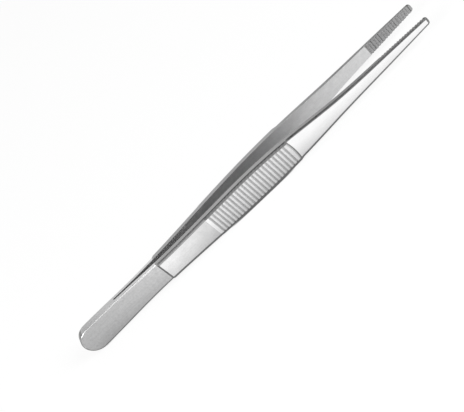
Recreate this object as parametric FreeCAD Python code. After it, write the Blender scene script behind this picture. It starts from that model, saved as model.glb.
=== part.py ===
import FreeCAD, Part
import math
import os

# Thumb forceps: two spring blades, each forged in one piece and welded face to face at the butt.
# X runs from the butt to the tips, Y across the opening and Z over the width of a blade.
# One blade is drawn from the middle plane towards +Y, and the other is its mirror image.
# Sizes are in millimetres, and places along X are measured from the butt end.

# Lengths along the blade
length = 145.0
weld_length = 18.0
shoulder_at = 35.4
shoulder_bevel = 0.7
ramp_length = 1.1
rib_start = 57.6
rib_count = 24
rib_pitch = 1.4
jaw_length = 18.4

# Width of a blade: full at the grip, and an inset is what each side loses elsewhere
grip_width = 10.5
butt_inset = 0.3
waist_inset = 0.95
ramp_inset = 0.45
rib_end_inset = 0.55
shank_width = 5.7
jaw_width = 4.15
tip_width = 2.65
tip_corner_radius = 1.0

# Half opening, from the middle plane to the inner face of a blade
slot_half_gap = 0.3
shoulder_half_gap = 0.9
ramp_half_gap = 1.8
grip_half_gap = 2.3
rib_end_half_gap = 3.1
shank_half_gap = 4.33
jaw_half_gap = 4.8
tip_half_gap = 5.12

# Thickness of a blade
leaf_thickness = 1.37
pad_thickness = 1.85
land_rise = 0.13
shank_start_thickness = 1.9
shank_thickness = 1.68
tip_thickness = 1.12

# Long outer edges, and the crown of the shank as the height of its arc
leaf_edge_radius = 0.35
grip_edge_bevel = 0.55
shank_edge_radius = 0.6
tip_edge_radius = 0.28
tip_end_bevel = 0.3
shank_start_crown = 0.3
shank_crown = 0.15
tip_crown = 0.08

# Finger ribs: straight grooves across the outer face, and a curved one where they end
groove_width = 0.75
groove_depth = 0.24
end_groove_bulge = 0.45

# Jaw teeth: grooves across the inner face, half a pitch apart on the two blades
tooth_pitch = 1.0
tooth_depth = 0.3
tooth_crest = 0.14

# How far a cutting solid reaches past what it cuts
spare = 1.0

butt_width = grip_width - 2 * butt_inset
waist_width = grip_width - 2 * waist_inset
ramp_width = grip_width - 2 * ramp_inset
rib_end_width = grip_width - 2 * rib_end_inset
land_at = rib_start - groove_width / 2
ramp_at = land_at - ramp_length
rib_end = rib_start + (rib_count - 1) * rib_pitch
rib_middle = (rib_start + rib_end) / 2
jaw_at = length - jaw_length
shank_at = rib_end + 0.55 * (jaw_at - rib_end)
land_thickness = pad_thickness + land_rise
butt_thickness = slot_half_gap + leaf_thickness


def vector(x, y=0.0, z=0.0):
    return FreeCAD.Vector(x, y, z)


def slope(start, end):
    return (end[1] - start[1]) / (end[0] - start[0])


def smooth(points, start_slope):
    """Spline whose parameter is x, so that at(curve, x) reads it anywhere."""
    curve = Part.BSplineCurve()
    curve.interpolate(
        Points=[vector(x, y) for x, y in points],
        Parameters=[x for x, y in points],
        InitialTangent=vector(1, start_slope),
        FinalTangent=vector(1, slope(*points[-2:])),
        Scale=False,
    )
    return curve


def at(curve, x):
    return curve.value(x).y


def stretch(curve, start, end, rise=0.0):
    """Part of a curve between two places along X, moved outwards by rise."""
    piece = curve.copy()
    piece.segment(start, end)
    piece.translate(vector(0, rise))
    return piece


half_width = smooth(
    [
        (butt_width / 2, butt_width / 2),
        (shoulder_at, waist_width / 2),
        (ramp_at, ramp_width / 2),
        (rib_middle, grip_width / 2),
        (rib_end, rib_end_width / 2),
        (shank_at, shank_width / 2),
        (jaw_at, jaw_width / 2),
        (length, tip_width / 2),
    ],
    start_slope=0.0,
)

half_gap = smooth(
    [
        (weld_length, slot_half_gap),
        (shoulder_at, shoulder_half_gap),
        (ramp_at, ramp_half_gap),
        (rib_middle, grip_half_gap),
        (rib_end, rib_end_half_gap),
        (shank_at, shank_half_gap),
        (jaw_at, jaw_half_gap),
        (length, tip_half_gap),
    ],
    start_slope=0.0,
)

shank_profile = smooth(
    [
        (rib_end, shank_start_thickness),
        (shank_at, shank_thickness),
        (length, tip_thickness),
    ],
    start_slope=0.0,
)


def blend(x, stations):
    """Straight-line value at x between (place, value) stations."""
    for (start, first), (end, second) in zip(stations, stations[1:]):
        if x <= end:
            break
    return first + (second - first) * (x - start) / (end - start)


def places(start, end, spacing=4.0):
    """Evenly spaced places for the sections of a loft."""
    count = max(2, math.ceil((end - start) / spacing))
    return [start + (end - start) * i / count for i in range(count + 1)]


def polygon_prism(corners, reach):
    """Solid across the width, from corners drawn in X and Y."""
    wire = Part.makePolygon([vector(x, y, -reach) for x, y in corners + corners[:1]])
    return Part.Face(wire).extrude(vector(0, 0, 2 * reach))


def mirrored(point):
    return vector(point.x, point.y, -point.z)


def bevelled_section(x, thickness):
    """Cross-section at x with a flat back and bevelled outer edges."""
    half = at(half_width, x)
    inner = at(half_gap, x)
    outer = inner + thickness
    upper = [
        vector(x, inner, half),
        vector(x, outer - grip_edge_bevel, half),
        vector(x, outer, half - grip_edge_bevel),
    ]
    corners = upper + [mirrored(point) for point in reversed(upper)]
    return Part.makePolygon(corners + corners[:1])


def crowned_section(x, thickness, edge_radius, crown):
    """Cross-section at x with a crowned back, which runs tangent into round edges."""
    half = at(half_width, x)
    inner = at(half_gap, x)
    outer = inner + thickness
    flat = half - edge_radius
    back_radius = (flat**2 + crown**2) / (2 * crown)
    rise = math.sqrt((back_radius - edge_radius) ** 2 - flat**2)
    turn = math.atan2(rise, flat)
    centre = vector(x, outer - back_radius + rise, flat)
    foot = vector(x, inner, half)
    side = centre + vector(0, 0, edge_radius)
    bend = centre + vector(0, math.sin(turn / 2), math.cos(turn / 2)) * edge_radius
    edge = centre + vector(0, math.sin(turn), math.cos(turn)) * edge_radius
    outline = [
        Part.LineSegment(mirrored(foot), foot),
        Part.LineSegment(foot, side),
        Part.Arc(side, bend, edge),
        Part.Arc(edge, vector(x, outer), mirrored(edge)),
        Part.Arc(mirrored(edge), mirrored(bend), mirrored(side)),
        Part.LineSegment(mirrored(side), mirrored(foot)),
    ]
    return Part.Wire([part.toShape() for part in outline])


def loft(sections):
    return Part.makeLoft(sections, True, False)


def butt_nose():
    """Half circle round the butt end, drawn in X and Z."""
    radius = butt_width / 2
    return Part.Arc(vector(radius, 0, radius), vector(0), vector(radius, 0, -radius))


def butt_and_leaf():
    """Welded butt and thin spring leaf: a side profile cut to the plan outline."""
    end_gap = at(half_gap, shoulder_at)
    inner = stretch(half_gap, weld_length, shoulder_at)
    outer = stretch(half_gap, weld_length, shoulder_at, leaf_thickness)
    profile = [
        Part.LineSegment(vector(0), vector(weld_length)),
        Part.LineSegment(vector(weld_length), vector(weld_length, slot_half_gap)),
        inner,
        Part.LineSegment(vector(shoulder_at, end_gap), vector(shoulder_at, end_gap + leaf_thickness)),
        outer,
        Part.LineSegment(vector(weld_length, butt_thickness), vector(0, butt_thickness)),
        Part.LineSegment(vector(0, butt_thickness), vector(0)),
    ]
    reach = butt_width
    side_face = Part.Face(Part.Wire([line.toShape() for line in profile]))
    side_solid = side_face.extrude(vector(0, 0, 2 * reach))
    side_solid.translate(vector(0, 0, -reach))

    upper = stretch(half_width, butt_width / 2, shoulder_at + spare).toShape()
    upper.rotate(vector(0), vector(1), 90)
    lower = upper.mirror(vector(0), vector(0, 0, 1))
    ends = [edge.Vertexes[-1].Point for edge in (upper, lower)]
    close = Part.LineSegment(ends[0], ends[1]).toShape()
    outline = Part.Wire(Part.__sortEdges__([butt_nose().toShape(), upper, close, lower]))
    height = 2 * (end_gap + leaf_thickness)
    plan_solid = Part.Face(outline).extrude(vector(0, height, 0))
    plan_solid.translate(vector(0, -spare, 0))
    solid = side_solid.common(plan_solid)
    rim = [edge for edge in solid.Edges if is_outer_rim(edge)]
    return solid.makeFillet(leaf_edge_radius, rim)


def is_outer_rim(edge):
    """True of the outer edges round the plan outline, but not of those straight across it."""
    middle = edge.valueAt((edge.FirstParameter + edge.LastParameter) / 2)
    outer = at(half_gap, max(middle.x, weld_length)) + leaf_thickness
    straight_across = abs(edge.tangentAt(edge.FirstParameter).z) > 0.999
    return abs(middle.y - outer) < 0.01 and not straight_across


def bevelled(solid, start, end, low, high):
    """Cuts the outer corner at the butt end of a step along a slope."""
    corners = [(start, low), (end, high), (end, high + spare), (start - spare, high + spare)]
    corners.append((start - spare, low))
    return solid.cut(polygon_prism(corners, grip_width))


def pad():
    """Polished pad behind the ribs, which starts at the shoulder bevel."""
    sections = [bevelled_section(x, pad_thickness) for x in places(shoulder_at, ramp_at)]
    bevel_end = shoulder_at + shoulder_bevel
    low = at(half_gap, shoulder_at) + leaf_thickness
    high = at(half_gap, bevel_end) + pad_thickness
    return bevelled(loft(sections), shoulder_at, bevel_end, low, high)


def ribbed_land():
    """Raised land with the finger ribs."""
    sections = [bevelled_section(x, land_thickness) for x in places(ramp_at, rib_end)]
    low = at(half_gap, ramp_at) + pad_thickness
    high = at(half_gap, land_at) + land_thickness
    solid = bevelled(loft(sections), ramp_at, land_at, low, high)
    return solid.cut([rib_groove(i) for i in range(rib_count - 1)])


def v_profile(x, face, outward, width, depth):
    """V in X and Y, cut into a face that looks outward, with its mouth carried on past the face."""
    over = depth / 4
    mouth = (width / 2) * (depth + over) / depth
    rim = face + outward * over
    return [(x - mouth, rim), (x, face - outward * depth), (x + mouth, rim)]


def rib_profile(x):
    return v_profile(x, at(half_gap, x) + land_thickness, 1, groove_width, groove_depth)


def rib_groove(number):
    return polygon_prism(rib_profile(rib_start + number * rib_pitch), grip_width)


def end_groove():
    """Last groove, on an arc that bulges towards the tips."""
    half = at(half_width, rib_end)
    radius = (half**2 + end_groove_bulge**2) / (2 * end_groove_bulge)
    corners = rib_profile(rib_end)
    wire = Part.makePolygon([vector(x, y) for x, y in corners + corners[:1]])
    axis_point = vector(rib_end - radius, 0, 0)
    angle = math.degrees(math.asin(min(1.0, grip_width / 2 / radius))) + spare
    wire.rotate(axis_point, vector(0, 1, 0), -angle)
    return Part.Face(wire).revolve(axis_point, vector(0, 1, 0), 2 * angle)


def shank():
    """Ground taper from the ribs to the jaw tip, crowned across its back."""
    radii = [(rib_end, shank_edge_radius), (length, tip_edge_radius)]
    crowns = [(rib_end, shank_start_crown), (shank_at, shank_crown), (length, tip_crown)]
    sections = [
        crowned_section(x, at(shank_profile, x), blend(x, radii), blend(x, crowns))
        for x in places(rib_end, length)
    ]
    return loft(sections).cut([tip_corner(1), tip_corner(-1), tip_end_corner()])


def tip_corner(sign):
    """What is cut off one corner of the tip, outside its rounding."""
    start = length - tip_corner_radius
    half = at(half_width, start)
    block = Part.makeBox(2 * tip_corner_radius, 2 * tip_half_gap, 2 * tip_corner_radius)
    block.translate(vector(start, 0, half - tip_corner_radius))
    round_part = Part.makeCylinder(tip_corner_radius, 2 * tip_half_gap, vector(0), vector(0, 1, 0))
    round_part.translate(vector(start, 0, half - tip_corner_radius))
    corner = block.cut(round_part)
    return corner if sign > 0 else corner.mirror(vector(0), vector(0, 0, 1))


def tip_end_corner():
    """What is cut off the outer edge across the end of the tip."""
    start = length - tip_end_bevel
    high = at(half_gap, start) + at(shank_profile, start)
    low = at(half_gap, length) + tip_thickness - tip_end_bevel
    reach = length + spare
    corners = [(start, high), (length, low), (reach, low), (reach, high + spare), (start, high + spare)]
    return polygon_prism(corners, jaw_width)


def tooth_grooves(offset):
    """Cross cuts in the inner face of the jaw, from its start to the tip."""
    width = tooth_pitch - tooth_crest
    count = int((jaw_length - offset) / tooth_pitch)
    starts = [jaw_at + offset + tooth_pitch * (i + 0.5) for i in range(count)]
    return [polygon_prism(v_profile(x, at(half_gap, x), -1, width, tooth_depth), grip_width) for x in starts]


def blade(tooth_offset):
    """One blade with its lower side resting on z = 0 and the middle of its length at x = 0."""
    solid = butt_and_leaf().fuse([pad(), ribbed_land(), shank()])
    solid = solid.cut([end_groove(), *tooth_grooves(tooth_offset)]).removeSplitter().Solids[0]
    lowest = solid.optimalBoundingBox(False, False).ZMin
    solid.translate(vector(-length / 2, 0, -lowest))
    return solid


def main():
    os.makedirs("parts", exist_ok=True)
    rear = blade(0.0)
    front = blade(tooth_pitch / 2).mirror(vector(0), vector(0, 1, 0))
    for name, solid in (("rear_blade", rear), ("front_blade", front)):
        solid.exportStep(f"parts/{name}.step")
        box = solid.optimalBoundingBox(False, False)
        print(name, solid.isValid(), round(solid.Volume, 1), box)


main()
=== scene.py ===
import bpy
import bmesh
import math
import numpy as np
from mathutils import Matrix, Vector


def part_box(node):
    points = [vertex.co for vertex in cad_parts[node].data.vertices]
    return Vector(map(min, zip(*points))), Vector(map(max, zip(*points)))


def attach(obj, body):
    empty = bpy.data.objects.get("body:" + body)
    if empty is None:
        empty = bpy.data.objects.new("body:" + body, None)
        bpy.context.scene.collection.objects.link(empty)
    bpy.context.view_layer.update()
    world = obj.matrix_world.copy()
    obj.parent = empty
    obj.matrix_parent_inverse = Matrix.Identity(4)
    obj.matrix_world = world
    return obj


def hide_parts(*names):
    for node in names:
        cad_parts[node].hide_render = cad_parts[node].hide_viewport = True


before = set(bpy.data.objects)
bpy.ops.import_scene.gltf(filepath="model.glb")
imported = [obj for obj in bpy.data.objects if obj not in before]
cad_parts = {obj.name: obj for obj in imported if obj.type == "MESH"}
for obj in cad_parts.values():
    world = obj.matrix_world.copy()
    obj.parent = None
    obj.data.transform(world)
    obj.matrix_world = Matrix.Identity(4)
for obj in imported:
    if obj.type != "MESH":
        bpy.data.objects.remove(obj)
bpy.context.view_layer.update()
mm = 0.001
same = 1e-6  # metres, within which two points are one
near = 0.002  # millimetres, within which two places along the blade are one
slack = 0.01  # millimetres past a line that still count as on it
levelSlack = 0.0006  # within which two levels, or two shares of the half width, are one

# One spring blade, in millimetres from the butt end, with its inner face towards -Y
blade = {
    "length": 145.0,
    "weldLength": 18.0,
    "weldStep": 0.05,  # over which the butt thins down to the leaf
    "shoulderAt": 35.4,
    "shoulderBevel": 0.7,
    "rampLength": 1.1,
    "ribStart": 57.6,
    "ribCount": 24,
    "ribPitch": 1.4,
    "grooveWidth": 0.75,
    "grooveDepth": 0.24,
    "endGrooveBulge": 0.45,
    "crownRun": 0.8,  # from the last groove to where the shank's crown is full
    "shankShare": 0.55,  # of the way from the last rib to the jaw, where the shank is measured
    "jawLength": 18.4,
    "toothPitch": 1.0,
    "toothCrest": 0.14,
    "toothDepth": 0.3,
    # width: full at the grip, and an inset is what each side loses elsewhere
    "gripWidth": 10.5,
    "buttInset": 0.3,
    "waistInset": 0.95,
    "rampInset": 0.45,
    "ribEndInset": 0.55,
    "shankWidth": 5.7,
    "jawWidth": 4.15,
    "tipWidth": 2.65,
    "tipCorner": 1.0,
    # half opening, from the middle plane to the inner face
    "slotHalfGap": 0.3,
    "shoulderHalfGap": 0.9,
    "rampHalfGap": 1.8,
    "gripHalfGap": 2.3,
    "ribEndHalfGap": 3.1,
    "shankHalfGap": 4.33,
    "jawHalfGap": 4.8,
    "tipHalfGap": 5.12,
    # thickness, and the height of the shank's crown
    "leafThickness": 1.37,
    "padThickness": 1.85,
    "landRise": 0.13,
    "shankStartThickness": 1.9,
    "shankThickness": 1.68,
    "tipThickness": 1.12,
    "shankStartCrown": 0.3,
    "shankCrown": 0.15,
    "tipCrown": 0.08,
    # rounded outer edges, and the small break of the inner ones
    "noseRim": 0.6,
    "rimDepth": 0.45,
    "tipRimDepth": 0.35,
    "leafRimWidth": 0.7,
    "padRimWidth": 1.0,
    "ribEndRimWidth": 1.05,
    "shankRimWidth": 1.0,
    "tipRimWidth": 0.75,
    "tipEndBevel": 0.3,
    "innerBreak": 0.05,
    # how finely the mesh is divided
    "stationSpacing": 3.0,
    "tipAngles": (15, 30, 53, 63, 72),  # round the corner of the tip, in degrees
    "noseSegments": 14,
    "noseShare": 0.9995,  # of half the width, so that the nose's two bevels don't clash
    "rimSegments": 4,
    "breakSegments": 2,
    "columns": (0.0, 0.18, 0.36, 0.54, 0.7),  # shares of the half width, for the crown of the shank
    "sharpAngle": 25.0,  # degrees between two faces, past which their edge is drawn sharp
}
buttWidth = blade["gripWidth"] - 2 * blade["buttInset"]
buttThickness = blade["slotHalfGap"] + blade["leafThickness"]
landThickness = blade["padThickness"] + blade["landRise"]
noseRadius = buttWidth / 2
halfGroove = blade["grooveWidth"] / 2
leafAt = blade["weldLength"] + blade["weldStep"]
padAt = blade["shoulderAt"] + blade["shoulderBevel"]
landAt = blade["ribStart"] - halfGroove
rampAt = landAt - blade["rampLength"]
ribEnd = blade["ribStart"] + (blade["ribCount"] - 1) * blade["ribPitch"]
ribMiddle = (blade["ribStart"] + ribEnd) / 2
shankStart = ribEnd + halfGroove
crownAt = shankStart + blade["crownRun"]
jawAt = blade["length"] - blade["jawLength"]
shankAt = ribEnd + blade["shankShare"] * (jawAt - ribEnd)
tipStart = blade["length"] - blade["tipCorner"]
tipBevelAt = blade["length"] - blade["tipEndBevel"]
midWall = 0.3  # millimetres above the inner face, past which all belongs to the back


# A smooth curve through points, given as a function of x, with a set slope at its start
def curveThrough(points, startSlope=0.0):
    xs, ys = np.array(points, float).T
    gaps = np.diff(xs)
    chords = np.diff(ys) / gaps
    rows = np.eye(len(xs))
    sides = np.zeros(len(xs))
    sides[0], sides[-1] = startSlope, chords[-1]
    for i in range(1, len(xs) - 1):
        rows[i, i - 1:i + 2] = gaps[i], 2 * (gaps[i - 1] + gaps[i]), gaps[i - 1]
        sides[i] = 3 * (gaps[i] * chords[i - 1] + gaps[i - 1] * chords[i])
    slopes = np.linalg.solve(rows, sides)

    def value(x):
        i = min(max(int(np.searchsorted(xs, x)) - 1, 0), len(gaps) - 1)
        t = (x - xs[i]) / gaps[i]
        start = ys[i] * (1 + 2 * t) * (1 - t) ** 2 + slopes[i] * gaps[i] * t * (1 - t) ** 2
        return float(start + ys[i + 1] * t * t * (3 - 2 * t) - slopes[i + 1] * gaps[i] * t * t * (1 - t))

    return value


halfWidth = curveThrough([
    (noseRadius, noseRadius),
    (blade["shoulderAt"], blade["gripWidth"] / 2 - blade["waistInset"]),
    (rampAt, blade["gripWidth"] / 2 - blade["rampInset"]),
    (ribMiddle, blade["gripWidth"] / 2),
    (ribEnd, blade["gripWidth"] / 2 - blade["ribEndInset"]),
    (shankAt, blade["shankWidth"] / 2),
    (jawAt, blade["jawWidth"] / 2),
    (blade["length"], blade["tipWidth"] / 2),
])
halfGap = curveThrough([
    (blade["weldLength"], blade["slotHalfGap"]),
    (blade["shoulderAt"], blade["shoulderHalfGap"]),
    (rampAt, blade["rampHalfGap"]),
    (ribMiddle, blade["gripHalfGap"]),
    (ribEnd, blade["ribEndHalfGap"]),
    (shankAt, blade["shankHalfGap"]),
    (jawAt, blade["jawHalfGap"]),
    (blade["length"], blade["tipHalfGap"]),
])
shankThickness = curveThrough([
    (ribEnd, blade["shankStartThickness"]),
    (shankAt, blade["shankThickness"]),
    (blade["length"], blade["tipThickness"]),
])
thickness = [
    (blade["weldLength"], buttThickness),
    (leafAt, blade["leafThickness"]),
    (blade["shoulderAt"], blade["leafThickness"]),
    (padAt, blade["padThickness"]),
    (rampAt, blade["padThickness"]),
    (landAt, landThickness),
]
rimDepth = [
    (0.0, blade["noseRim"]),
    (blade["weldLength"], blade["rimDepth"]),
    (padAt, blade["rimDepth"]),
    (blade["length"], blade["tipRimDepth"]),
]
rimWidth = [
    (0.0, blade["noseRim"]),
    (blade["weldLength"], blade["leafRimWidth"]),
    (blade["shoulderAt"], blade["leafRimWidth"]),
    (padAt, blade["padRimWidth"]),
    (ribEnd, blade["ribEndRimWidth"]),
    (shankAt, blade["shankRimWidth"]),
    (blade["length"], blade["tipRimWidth"]),
]
crown = [
    (ribEnd, 0.0),
    (crownAt, blade["shankStartCrown"]),
    (shankAt, blade["shankCrown"]),
    (blade["length"], blade["tipCrown"]),
]


def blend(x, stops):
    return float(np.interp(x, *zip(*stops)))


def innerFace(x):
    return 0.0 if x <= blade["weldLength"] else halfGap(x)


def outerFace(x):
    if x > ribEnd + slack:
        return halfGap(x) + shankThickness(x) - max(0.0, x - tipBevelAt)
    return innerFace(x) + blend(x, thickness)


def plan(x):  # half of the width, with the round corners of the tip
    over = max(0.0, x - tipStart) / blade["tipCorner"]
    return halfWidth(x) - blade["tipCorner"] * (1 - math.sqrt(max(0.0, 1 - over ** 2)))


def deselectAll():
    if bpy.context.mode != "OBJECT":
        bpy.ops.object.mode_set(mode="OBJECT")
    bpy.ops.object.select_all(action="DESELECT")


def editOnly(piece):
    deselectAll()
    piece.select_set(True)
    bpy.context.view_layer.objects.active = piece
    bpy.ops.object.mode_set(mode="EDIT")


# Selects the vertices or faces that wanted() is true of, in edit mode
def pick(piece, wanted, kind="VERT"):
    bpy.ops.mesh.select_mode(type=kind)
    bpy.ops.mesh.select_all(action="DESELECT")
    mesh = bmesh.from_edit_mesh(piece.data)
    for part in mesh.verts if kind == "VERT" else mesh.faces:
        if wanted(part):
            part.select_set(True)
    mesh.select_flush_mode()
    bmesh.update_edit_mesh(piece.data)


def cutAcross(places):  # a loop of edges round the whole bar at each place along X
    for x in places:
        bpy.ops.mesh.select_all(action="SELECT")
        bpy.ops.mesh.bisect(plane_co=(x * mm, 0, 0), plane_no=(1, 0, 0), threshold=same)


def spaced(start, end):
    count = max(1, round((end - start) / blade["stationSpacing"]))
    return [start + (end - start) * i / count for i in range(1, count)]


def loopPlaces():
    marks = [noseRadius, blade["weldLength"], leafAt, blade["shoulderAt"], padAt, rampAt]
    places = []
    for start, end in zip(marks, marks[1:]):
        places += [start, *spaced(start, end)]
    places += [rampAt]
    for i in range(blade["ribCount"]):
        middle = blade["ribStart"] + i * blade["ribPitch"]
        places += [middle - halfGroove, middle, middle + halfGroove]
    places += [crownAt, *spaced(crownAt, tipStart), tipStart, tipBevelAt]
    places += [tipStart + blade["tipCorner"] * math.sin(math.radians(a)) for a in blade["tipAngles"]]
    return places


# A bar with the round nose of the butt and rounded outer edges, still straight and even
def bladeBar():
    deselectAll()
    size = (blade["length"] * mm, buttThickness * mm, buttWidth * mm)
    bpy.ops.mesh.primitive_cube_add(size=1, location=(size[0] / 2, size[1] / 2, 0), scale=size)
    bar = bpy.context.object
    bpy.ops.object.transform_apply(location=True, rotation=True, scale=True)
    bpy.ops.object.mode_set(mode="EDIT")
    pick(bar, lambda v: v.co.x < same)
    mesh = bmesh.from_edit_mesh(bar.data)
    for edge in mesh.edges:
        a, b = (v.co for v in edge.verts)
        edge.select_set(max(a.x, b.x) < same and abs(a.z - b.z) < same)
    bmesh.update_edit_mesh(bar.data)
    bpy.ops.mesh.select_mode(type="EDGE")
    nose = noseRadius * mm * blade["noseShare"]
    bpy.ops.mesh.bevel(offset=nose, segments=blade["noseSegments"], affect="EDGES")
    bpy.ops.mesh.select_all(action="SELECT")
    bpy.ops.mesh.remove_doubles(threshold=slack * mm)
    edges = ((1, blade["noseRim"], blade["rimSegments"]), (-1, blade["innerBreak"], blade["breakSegments"]))
    for side, width, segments in edges:
        pick(bar, lambda f: f.normal.y * side > 0.99, "FACE")  # all that looks straight out, or straight in
        bpy.ops.mesh.bevel(offset=width * mm, segments=segments, affect="EDGES")
    return bar


# Sets each loop of the bar to the blade's width, opening, thickness, edges and crown
def shapeLoops(bar):
    full = buttThickness
    radius = blade["noseRim"]
    mesh = bmesh.from_edit_mesh(bar.data)
    places = []
    for x in sorted({round(v.co.x / mm, 3) for v in mesh.verts if v.co.x / mm > noseRadius + near}):
        if not places or x - places[-1] > near:
            places.append(x)
    for x in places:
        wide = plan(x) / noseRadius
        deep = blend(x, rimDepth) / radius
        broad = blend(x, rimWidth) / radius
        low = full - radius * deep - near
        reach = min(radius, blade["length"] - x)  # of the rim, which runs out in the corner of the tip
        flat = noseRadius - reach  # half width of the back between its rims, which carries the columns

        def here(v):
            return abs(v.co.x / mm - x) < near

        def outside(v):
            return here(v) and v.co.y / mm > full - radius - near

        def onBack(v):
            return here(v) and v.co.y / mm > low

        pick(bar, outside)
        bpy.ops.transform.resize(value=(1, deep, 1), center_override=(x * mm, full * mm, 0))
        pick(bar, lambda v: onBack(v) and abs(v.co.z) / mm < flat - near)
        columnShare = (noseRadius - reach * broad / wide) / flat
        bpy.ops.transform.resize(value=(1, 1, columnShare), center_override=(x * mm, full * mm, 0))
        for side in (1, -1):
            pick(bar, lambda v: onBack(v) and side * v.co.z / mm > noseRadius - radius - near)
            middle = (x * mm, full * mm, side * noseRadius * mm)
            bpy.ops.transform.resize(value=(1, 1, broad / wide), center_override=middle)
        pick(bar, here)
        bpy.ops.transform.resize(value=(1, 1, wide), center_override=(x * mm, 0, 0))
        pick(bar, onBack)
        bpy.ops.transform.translate(value=(0, (outerFace(x) - full) * mm, 0))
        pick(bar, lambda v: here(v) and v.co.y / mm < blade["innerBreak"] + near)
        bpy.ops.transform.translate(value=(0, innerFace(x) * mm, 0))
        if x > shankStart - near:
            lowerSides(bar, x, here)


def lowerSides(bar, x, here):  # the crown across the back of the shank
    mesh = bmesh.from_edit_mesh(bar.data)

    def onBack(v):
        return here(v) and v.co.y / mm > innerFace(x) + midWall

    levels = {round(abs(v.co.z) / mm, 4) for v in mesh.verts if onBack(v)}
    for level in sorted(levels - {0.0}):
        pick(bar, lambda v: onBack(v) and abs(abs(v.co.z) / mm - level) < levelSlack)
        drop = blend(x, crown) * (level / plan(x)) ** 2
        bpy.ops.transform.translate(value=(0, -drop * mm, 0))


def pressRibs(bar):  # the middle loop of each groove goes down to the groove's floor
    for i in range(blade["ribCount"]):
        x = blade["ribStart"] + i * blade["ribPitch"]
        floor = (outerFace(x) - blade["grooveDepth"]) * mm
        pick(bar, lambda v: abs(v.co.x / mm - x) < near and v.co.y > floor)
        bpy.ops.transform.resize(value=(1, 0, 1), center_override=(x * mm, floor, 0))


def bendEndGroove(bar):  # the last groove bulges towards the tips
    mesh = bmesh.from_edit_mesh(bar.data)

    def inGroove(v):
        return abs(v.co.x / mm - ribEnd) < halfGroove + slack and v.co.y / mm > innerFace(ribEnd) + midWall

    def across(v):
        return abs(v.co.z) / mm / plan(v.co.x / mm)

    for share in sorted({round(across(v), 3) for v in mesh.verts if inGroove(v)}):
        pick(bar, lambda v: inGroove(v) and abs(across(v) - share) < levelSlack)
        bpy.ops.transform.translate(value=(blade["endGrooveBulge"] * (1 - share ** 2) * mm, 0, 0))


def cutTeeth(piece, offset):
    half = (blade["toothPitch"] - blade["toothCrest"]) / 2
    count = int((blade["jawLength"] - offset) / blade["toothPitch"])
    middles = [jawAt + offset + blade["toothPitch"] * (i + 0.5) for i in range(count)]
    cutAcross([x for middle in middles for x in (middle - half, middle, middle + half)])
    for x in middles:
        face = halfGap(x) + blade["innerBreak"] + slack
        pick(piece, lambda v: abs(v.co.x / mm - x) < near and v.co.y / mm < face)
        bpy.ops.transform.translate(value=(0, blade["toothDepth"] * mm, 0))


def divideBack(bar):  # columns along the back of the shank, which its crown bends
    def backOfShank(face):  # all that leans outwards, and not the upright sides
        return face.normal.y > 0.05 and face.calc_center_median().x / mm > ribEnd - halfGroove

    for share in blade["columns"]:
        for z in {share * noseRadius, -share * noseRadius}:
            pick(bar, backOfShank, "FACE")
            bpy.ops.mesh.bisect(plane_co=(0, 0, z * mm), plane_no=(0, 0, 1), threshold=same)


def modelBlade():
    bar = bladeBar()
    cutAcross(loopPlaces())
    divideBack(bar)
    shapeLoops(bar)
    pressRibs(bar)
    bendEndGroove(bar)
    return bar


def finishBlade(bar, name, offset, mirror):
    deselectAll()
    bar.select_set(True)
    bpy.context.view_layer.objects.active = bar
    bpy.ops.object.duplicate()
    piece = bpy.context.object
    piece.name = name
    piece.data.name = name
    bpy.ops.object.mode_set(mode="EDIT")
    cutTeeth(piece, offset)
    bpy.ops.mesh.select_all(action="SELECT")
    if mirror:
        bpy.ops.transform.resize(value=(1, -1, 1), center_override=(0, 0, 0))
    low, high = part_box("rear_blade")
    bpy.ops.transform.translate(value=(low.x, 0, (low.z + high.z) / 2))
    bpy.ops.mesh.remove_doubles(threshold=same)
    bpy.ops.mesh.normals_make_consistent(inside=False)
    bpy.ops.object.mode_set(mode="OBJECT")
    bpy.ops.object.shade_smooth_by_angle(angle=math.radians(blade["sharpAngle"]))
    evenly = piece.modifiers.new("evenNormals", "WEIGHTED_NORMAL")
    evenly.keep_sharp = True
    evenly.weight = 100
    bpy.ops.object.modifier_apply(modifier=evenly.name)
    return piece


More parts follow.
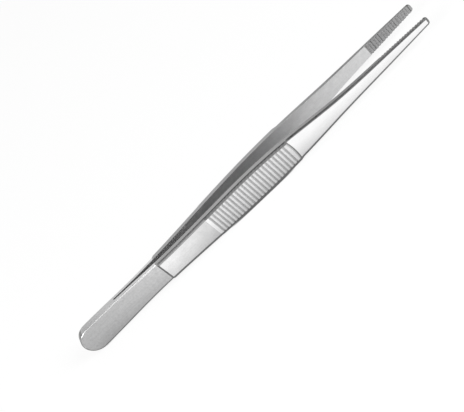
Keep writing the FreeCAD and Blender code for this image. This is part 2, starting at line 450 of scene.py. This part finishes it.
# Steel of the blades. A finish has its lightest and darkest tone, its smoothest and roughest roughness,
# the size of its mottling and the height of its relief in millimetres, and its share of brush lines.
# Its fade is how far it darkens towards grey, and the places along the blade where that starts and is full;
# on the pad, the inner face and the ground sides this darkening is painted shade
finishes = {
    "satinLeaf": {
        "tones": (0.72, 0.57), "roughness": (0.36, 0.46), "mottle": 0.9, "lines": 0.25, "relief": 0.02,
        "fade": (0.4, blade["shoulderAt"], 0.0),
    },
    # the pad's fade darkens it towards the ribs: painted shade
    "polishedPad": {
        "tones": (0.98, 0.84), "roughness": (0.12, 0.24), "mottle": 3.0, "lines": 0.2, "relief": 0.006,
        "fade": (0.24, 40.0, 55.0),
    },
    "wornRibs": {
        "tones": (0.9, 0.74), "roughness": (0.22, 0.34), "mottle": 0.6, "lines": 0.1, "relief": 0.015,
    },
    # the darker tone of the groove slopes is painted shade in the grooves
    "ribGroovePaintedShade": {
        "tones": (0.66, 0.48), "roughness": (0.26, 0.4), "mottle": 0.6, "lines": 0.1, "relief": 0.015,
    },
    "polishedShank": {
        "tones": (0.99, 0.94), "roughness": (0.1, 0.18), "mottle": 4.0, "lines": 0.3, "relief": 0.004,
    },
    # the inner face's fade darkens it towards the grip, where the blades are close: painted shade between the
    # blades
    "innerFace": {
        "tones": (0.93, 0.79), "roughness": (0.3, 0.42), "mottle": 1.6, "lines": 0.2, "relief": 0.015,
        "fade": (0.2, 100.0, 80.0),
    },
    "jawTeeth": {
        "tones": (0.47, 0.39), "roughness": (0.6, 0.75), "mottle": 0.5, "lines": 0.0, "relief": 0.02,
    },
    # a dark rough patch on the tip's corner: painted shade that hides a lamp's highlight there
    "tipCorner": {
        "tones": (0.2, 0.14), "roughness": (0.6, 0.75), "mottle": 0.5, "lines": 0.0, "relief": 0.02,
    },
    "leafSide": {
        "tones": (0.97, 0.8), "roughness": (0.4, 0.55), "mottle": 0.8, "lines": 0.4, "relief": 0.02,
        "fade": (0.5, blade["shoulderAt"], 0.0),
    },
    # the dark tone of the leaf's lower rims and the nose's end is painted shade
    "leafEndPaintedShade": {
        "tones": (0.34, 0.25), "roughness": (0.4, 0.55), "mottle": 0.8, "lines": 0.4, "relief": 0.02,
        "fade": (0.3, blade["shoulderAt"], 0.0),
    },
    # ground sides, whose dark tone and fade towards the tips are painted shade
    "groundSidePaintedShade": {
        "tones": (0.54, 0.42), "roughness": (0.25, 0.4), "mottle": 1.0, "lines": 0.5, "relief": 0.015,
        "fade": (0.6, 86.0, 115.0),
    },
    # the dark tone of the rims, the shoulder, the last groove's back and the tip's end is painted shade
    "rimPaintedShade": {
        "tones": (0.3, 0.2), "roughness": (0.25, 0.4), "mottle": 1.0, "lines": 0.3, "relief": 0.01,
    },
    # a lighter painted shade on the upper rims of the pad and the shank
    "upperRimPaintedShade": {
        "tones": (0.46, 0.34), "roughness": (0.25, 0.4), "mottle": 1.0, "lines": 0.3, "relief": 0.01,
    },
}
noFade = (0.0, 0.0, 1.0)

# What all the finishes share. Scales are per metre
steel = {
    "coolness": 1.003,  # of blue over red and green
    "cloudDetail": 4.0,
    "cloudRoughness": 0.6,
    "speckScale": 3200.0,
    "speckDetail": 2.0,
    "speckShare": 0.35,
    "brushScale": (90.0, 2600.0, 2600.0),
    "brushDetail": 3.0,
    "contrast": (0.36, 0.64),  # the part of the noise that is spread from darkest to lightest
    # the grey that a fade darkens towards: painted shade on the pad, the inner face and the ground sides
    "darkenTone": 0.2,
    "bumpStrength": 0.5,
}


def steelGrain():  # mottling and fine lines along the blade, as tone, roughness and height
    group = bpy.data.node_groups.new("steelGrain", "ShaderNodeTree")
    for name in ("Light", "Dark"):
        group.interface.new_socket(name, in_out="INPUT", socket_type="NodeSocketColor")
    for name in ("Smooth", "Rough", "Mottle", "Lines", "Shade", "From", "To"):
        group.interface.new_socket(name, in_out="INPUT", socket_type="NodeSocketFloat")
    group.interface.new_socket("Color", in_out="OUTPUT", socket_type="NodeSocketColor")
    for name in ("Roughness", "Height"):
        group.interface.new_socket(name, in_out="OUTPUT", socket_type="NodeSocketFloat")
    nodes, links = group.nodes, group.links
    given = nodes.new("NodeGroupInput")
    made = nodes.new("NodeGroupOutput")
    place = nodes.new("ShaderNodeTexCoord")
    cloud = nodes.new("ShaderNodeTexNoise")
    cloud.inputs["Detail"].default_value = steel["cloudDetail"]
    cloud.inputs["Roughness"].default_value = steel["cloudRoughness"]
    speck = nodes.new("ShaderNodeTexNoise")
    speck.inputs["Scale"].default_value = steel["speckScale"]
    speck.inputs["Detail"].default_value = steel["speckDetail"]
    stretch = nodes.new("ShaderNodeMapping")
    stretch.inputs["Scale"].default_value = steel["brushScale"]
    brush = nodes.new("ShaderNodeTexNoise")
    brush.inputs["Scale"].default_value = 1.0
    brush.inputs["Detail"].default_value = steel["brushDetail"]
    size = nodes.new("ShaderNodeMath")
    size.operation = "DIVIDE"
    size.inputs[0].default_value = 1 / mm
    base = nodes.new("ShaderNodeMix")
    base.inputs["Factor"].default_value = steel["speckShare"]
    lined = nodes.new("ShaderNodeMix")
    spread = nodes.new("ShaderNodeMapRange")
    spread.inputs["From Min"].default_value, spread.inputs["From Max"].default_value = steel["contrast"]
    tone = nodes.new("ShaderNodeMix")
    tone.data_type = "RGBA"
    rough = nodes.new("ShaderNodeMix")
    parts = nodes.new("ShaderNodeSeparateXYZ")
    fade = nodes.new("ShaderNodeMapRange")  # 0 at From and 1 at To, along the blade
    # darkening towards grey along the blade, which on the pad, the inner face and the ground sides is painted
    # shade
    darkenShare = nodes.new("ShaderNodeMath")
    darkenShare.operation = "MULTIPLY"
    shaded = nodes.new("ShaderNodeMix")
    shaded.data_type = "RGBA"
    shaded.inputs["B"].default_value = (steel["darkenTone"], steel["darkenTone"], steel["darkenTone"], 1)
    for target in (cloud.inputs["Vector"], speck.inputs["Vector"], stretch.inputs["Vector"], parts.inputs[0]):
        links.new(place.outputs["Object"], target)
    links.new(stretch.outputs["Vector"], brush.inputs["Vector"])
    links.new(given.outputs["Mottle"], size.inputs[1])
    links.new(size.outputs[0], cloud.inputs["Scale"])
    links.new(cloud.outputs["Fac"], base.inputs["A"])
    links.new(speck.outputs["Fac"], base.inputs["B"])
    links.new(base.outputs["Result"], lined.inputs["A"])
    links.new(brush.outputs["Fac"], lined.inputs["B"])
    links.new(given.outputs["Lines"], lined.inputs["Factor"])
    links.new(lined.outputs["Result"], spread.inputs["Value"])
    for target in (tone.inputs["Factor"], rough.inputs["Factor"], made.inputs["Height"]):
        links.new(spread.outputs["Result"], target)
    links.new(given.outputs["Dark"], tone.inputs["A"])
    links.new(given.outputs["Light"], tone.inputs["B"])
    links.new(given.outputs["Rough"], rough.inputs["A"])
    links.new(given.outputs["Smooth"], rough.inputs["B"])
    links.new(parts.outputs["X"], fade.inputs["Value"])
    links.new(given.outputs["From"], fade.inputs["From Min"])
    links.new(given.outputs["To"], fade.inputs["From Max"])
    links.new(fade.outputs["Result"], darkenShare.inputs[0])
    links.new(given.outputs["Shade"], darkenShare.inputs[1])
    links.new(darkenShare.outputs[0], shaded.inputs["Factor"])
    links.new(tone.outputs["Result"], shaded.inputs["A"])
    links.new(shaded.outputs["Result"], made.inputs["Color"])
    links.new(rough.outputs["Result"], made.inputs["Roughness"])
    return group


def steelFinish(name, grain):
    finish = finishes[name]
    material = bpy.data.materials.new(name)
    material.use_nodes = True
    nodes, links = material.node_tree.nodes, material.node_tree.links
    shader = nodes["Principled BSDF"]
    shader.inputs["Metallic"].default_value = 1.0
    worn = nodes.new("ShaderNodeGroup")
    worn.node_tree = grain
    for socket, tone in zip(("Light", "Dark"), finish["tones"]):
        worn.inputs[socket].default_value = (tone, tone, tone * steel["coolness"], 1)
    worn.inputs["Smooth"].default_value, worn.inputs["Rough"].default_value = finish["roughness"]
    worn.inputs["Mottle"].default_value = finish["mottle"]
    worn.inputs["Lines"].default_value = finish["lines"]
    # the fade's darkening towards grey, painted shade on the pad, the inner face and the ground sides
    shade, start, end = finish.get("fade", noFade)
    worn.inputs["Shade"].default_value = shade
    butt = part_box("rear_blade")[0].x
    worn.inputs["From"].default_value = start * mm + butt
    worn.inputs["To"].default_value = end * mm + butt
    bump = nodes.new("ShaderNodeBump")
    bump.inputs["Strength"].default_value = steel["bumpStrength"]
    bump.inputs["Distance"].default_value = finish["relief"] * mm
    links.new(worn.outputs["Color"], shader.inputs["Base Color"])
    links.new(worn.outputs["Roughness"], shader.inputs["Roughness"])
    links.new(worn.outputs["Height"], bump.inputs["Height"])
    links.new(bump.outputs["Normal"], shader.inputs["Normal"])
    return material


# How far a face's normal leans one way where one finish gives over to another
lean = {
    "inwards": -0.3,
    "upwards": 0.96,
    "upperBack": 0.95,
    "lowerBack": 0.995,
    "lengthways": 0.3,
    "tipCorner": 0.15,
}


# Which finish a face has, from its place along the blade, whether it is above the blade's middle,
# how far it is in from the blade's side, and which way it looks. Rims, ends and corners get painted shade,
# which on the leaf, pad and shank is darker or reaches further in below the middle than above it
def finishAt(x, above, inset, outward, upward, lengthways):
    onLeaf = x < blade["shoulderAt"] + slack
    onShank = x > shankStart
    if outward < lean["inwards"]:
        return "jawTeeth" if x > jawAt else "innerFace"
    # the tip's corner gets painted shade
    if x > tipStart and upward > lean["tipCorner"] and outward < lean["upperBack"]:
        return "tipCorner"
    if upward > lean["upwards"]:
        return "leafSide" if onLeaf else "groundSidePaintedShade"
    if onLeaf:
        if outward > (lean["upperBack"] if above else lean["lowerBack"]):
            return "satinLeaf"
        return "leafSide" if above and lengthways > -lean["lengthways"] else "leafEndPaintedShade"
    rim = blend(x, rimWidth)
    if x < padAt or x > blade["length"] - rim:
        return "rimPaintedShade"
    if inset < rim and not (onShank and above and outward > lean["upperBack"]):
        return "upperRimPaintedShade" if above and (x < rampAt or onShank) else "rimPaintedShade"
    if lengthways < -lean["lengthways"] and abs(x - ribEnd - blade["endGrooveBulge"]) < blade["grooveWidth"]:
        return "rimPaintedShade"
    if x < rampAt:
        return "polishedPad"
    if x < landAt or onShank:
        return "polishedShank"
    return "ribGroovePaintedShade" if abs(lengthways) > lean["lengthways"] else "wornRibs"


def giveFinishes(piece, materials, side):
    piece.data.materials.clear()
    for material in materials.values():
        piece.data.materials.append(material)
    editOnly(piece)
    low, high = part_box("rear_blade")
    middle = (low.z + high.z) / 2

    def finishOf(face):
        centre, normal = face.calc_center_median(), face.normal
        x = (centre.x - low.x) / mm
        inset = plan(x) - abs(centre.z - middle) / mm
        return finishAt(x, centre.z > middle, inset, normal.y * side, abs(normal.z), normal.x)

    for index, name in enumerate(materials):
        pick(piece, lambda face: finishOf(face) == name, "FACE")
        piece.active_material_index = index
        bpy.ops.object.material_slot_assign()
    bpy.ops.object.mode_set(mode="OBJECT")


bar = modelBlade()
rearBlade = finishBlade(bar, "rearBlade", 0.0, False)
frontBlade = finishBlade(bar, "frontBlade", blade["toothPitch"] / 2, True)
bpy.data.objects.remove(bar)
print("blades", len(rearBlade.data.polygons), len(frontBlade.data.polygons))

grain = steelGrain()
materials = {name: steelFinish(name, grain) for name in finishes}
for piece, node, side in ((rearBlade, "rear_blade", 1), (frontBlade, "front_blade", -1)):
    giveFinishes(piece, materials, side)
    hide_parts(node)
    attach(piece, "root")
print("finishes", len(materials))


# Studio: pale floor with a painted contact shadow, pale world with a dark area in front and above,
# soft lamps. Lengths are in metres
studio = {
    "floorSize": 3.0,
    "floorDrop": 0.00002,
    "paper": 0.9,
    # the floor's contact shadow is painted from ambient occlusion: a wide one for all but camera rays,
    # mirrored in the steel, and a close one that the camera sees
    "paintedShadowMirrored": (0.012, 0.85),  # reach and strength of the shade where the object stands
    "paintedShadowSeen": (0.00035, 1.5),
    "floorGlow": 0.85,  # share of plain white that the camera sees on the floor and steel mirrors
    "worldPale": 0.75,
    "worldDark": 0.03,
    "darkTowards": (-0.13, -0.57, 0.81),
    "darkInner": 0.9,
    "darkOuter": 0.45,
    "lampPlace": (0.7, -0.45, 0.5),  # of the right one, and the left one mirrors it
    "lampSize": 0.5,
    "lampPower": 7.0,
}


def paleFloor():
    deselectAll()
    bpy.ops.mesh.primitive_plane_add(size=studio["floorSize"], location=(0, 0, -studio["floorDrop"]))
    floor = bpy.context.object
    floor.name = "floor"
    material = bpy.data.materials.new("paleFloor")
    material.use_nodes = True
    nodes, links = material.node_tree.nodes, material.node_tree.links
    nodes.clear()
    output = nodes.new("ShaderNodeOutputMaterial")
    paper = nodes.new("ShaderNodeBsdfDiffuse")
    glow = nodes.new("ShaderNodeEmission")
    path = nodes.new("ShaderNodeLightPath")
    shade = nodes.new("ShaderNodeMix")
    tint = nodes.new("ShaderNodeMath")
    tint.operation = "MULTIPLY"
    tint.inputs[1].default_value = studio["paper"]
    # painted contact shadow: ambient occlusion darkens the paper and the glow
    for way, into in (("paintedShadowMirrored", "A"), ("paintedShadowSeen", "B")):
        contact = nodes.new("ShaderNodeAmbientOcclusion")
        deeper = nodes.new("ShaderNodeMath")
        deeper.operation = "POWER"
        contact.inputs["Distance"].default_value, deeper.inputs[1].default_value = studio[way]
        links.new(contact.outputs["AO"], deeper.inputs[0])
        links.new(deeper.outputs[0], shade.inputs[into])
    looking = nodes.new("ShaderNodeMath")
    looking.operation = "ADD"
    share = nodes.new("ShaderNodeMath")
    share.operation = "MULTIPLY"
    share.inputs[1].default_value = studio["floorGlow"]
    mix = nodes.new("ShaderNodeMixShader")
    links.new(path.outputs["Is Camera Ray"], shade.inputs["Factor"])
    links.new(shade.outputs["Result"], tint.inputs[0])
    links.new(tint.outputs[0], paper.inputs["Color"])
    links.new(shade.outputs["Result"], glow.inputs["Color"])
    links.new(path.outputs["Is Camera Ray"], looking.inputs[0])
    links.new(path.outputs["Is Glossy Ray"], looking.inputs[1])
    links.new(looking.outputs[0], share.inputs[0])
    links.new(share.outputs[0], mix.inputs[0])
    links.new(paper.outputs[0], mix.inputs[1])
    links.new(glow.outputs[0], mix.inputs[2])
    links.new(mix.outputs[0], output.inputs["Surface"])
    floor.data.materials.append(material)


def paleWorld():  # white to the camera, and pale with a dark area to all else
    world = bpy.data.worlds.new("studio")
    bpy.context.scene.world = world
    world.use_nodes = True
    nodes, links = world.node_tree.nodes, world.node_tree.links
    nodes.clear()
    output = nodes.new("ShaderNodeOutputWorld")
    background = nodes.new("ShaderNodeBackground")
    place = nodes.new("ShaderNodeTexCoord")
    facing = nodes.new("ShaderNodeVectorMath")
    facing.operation = "DOT_PRODUCT"
    facing.inputs[1].default_value = Vector(studio["darkTowards"]).normalized()
    tone = nodes.new("ShaderNodeMapRange")
    tone.interpolation_type = "SMOOTHSTEP"
    tone.inputs["From Min"].default_value = studio["darkOuter"]
    tone.inputs["From Max"].default_value = studio["darkInner"]
    tone.inputs["To Min"].default_value = studio["worldPale"]
    tone.inputs["To Max"].default_value = studio["worldDark"]
    path = nodes.new("ShaderNodeLightPath")
    mix = nodes.new("ShaderNodeMix")
    mix.data_type = "FLOAT"
    mix.inputs["B"].default_value = 1.0
    links.new(place.outputs["Generated"], facing.inputs[0])
    links.new(facing.outputs["Value"], tone.inputs["Value"])
    links.new(tone.outputs["Result"], mix.inputs["A"])
    links.new(path.outputs["Is Camera Ray"], mix.inputs["Factor"])
    links.new(mix.outputs["Result"], background.inputs["Color"])
    links.new(background.outputs[0], output.inputs["Surface"])


def softLamp(name, side):
    light = bpy.data.lights.new(name, "AREA")
    light.shape = "RECTANGLE"
    light.size = studio["lampSize"]
    light.size_y = studio["lampSize"]
    light.energy = studio["lampPower"]
    lamp = bpy.data.objects.new(name, light)
    bpy.context.scene.collection.objects.link(lamp)
    right, front, up = studio["lampPlace"]
    place = Vector((right * side, front, up))
    lamp.location = place
    lamp.rotation_euler = (-place).to_track_quat("-Z", "Y").to_euler()  # it looks at the origin


# The photo's view, in metres, millimetres of lens and degrees
camera = {
    "place": (0.0366, -0.28105, 0.20204),
    "aim": (-0.00822, 0.0, 0.00342),
    "lens": 87.7,
    "sensor": 36.0,
    "nearest": 0.01,
    "turn": -0.15,
    "roll": 45.0,
}


def photoCamera():
    data = bpy.data.cameras.new("photoCamera")
    data.lens = camera["lens"]
    data.sensor_width = camera["sensor"]
    data.dof.use_dof = False
    data.clip_start = camera["nearest"]
    eye = bpy.data.objects.new("photoCamera", data)
    bpy.context.scene.collection.objects.link(eye)
    place, aim = Vector(camera["place"]), Vector(camera["aim"])
    forward = (aim - place).normalized()
    along = (Vector((1, 0, 0)) - forward * forward.x).normalized()  # the blades' length as the camera sees it
    along = Matrix.Rotation(math.radians(camera["turn"]), 3, forward) @ along
    across = along.cross(forward)
    angle = math.radians(camera["roll"])
    right = along * math.cos(angle) - across * math.sin(angle)
    up = along * math.sin(angle) + across * math.cos(angle)
    turned = Matrix((right, up, -forward)).transposed()
    eye.matrix_world = Matrix.Translation(place) @ turned.to_4x4()
    bpy.context.scene.camera = eye


paleFloor()
paleWorld()
softLamp("leftLamp", -1)
softLamp("rightLamp", 1)
photoCamera()
scene = bpy.context.scene
scene.view_settings.view_transform = "Standard"
print("studio")
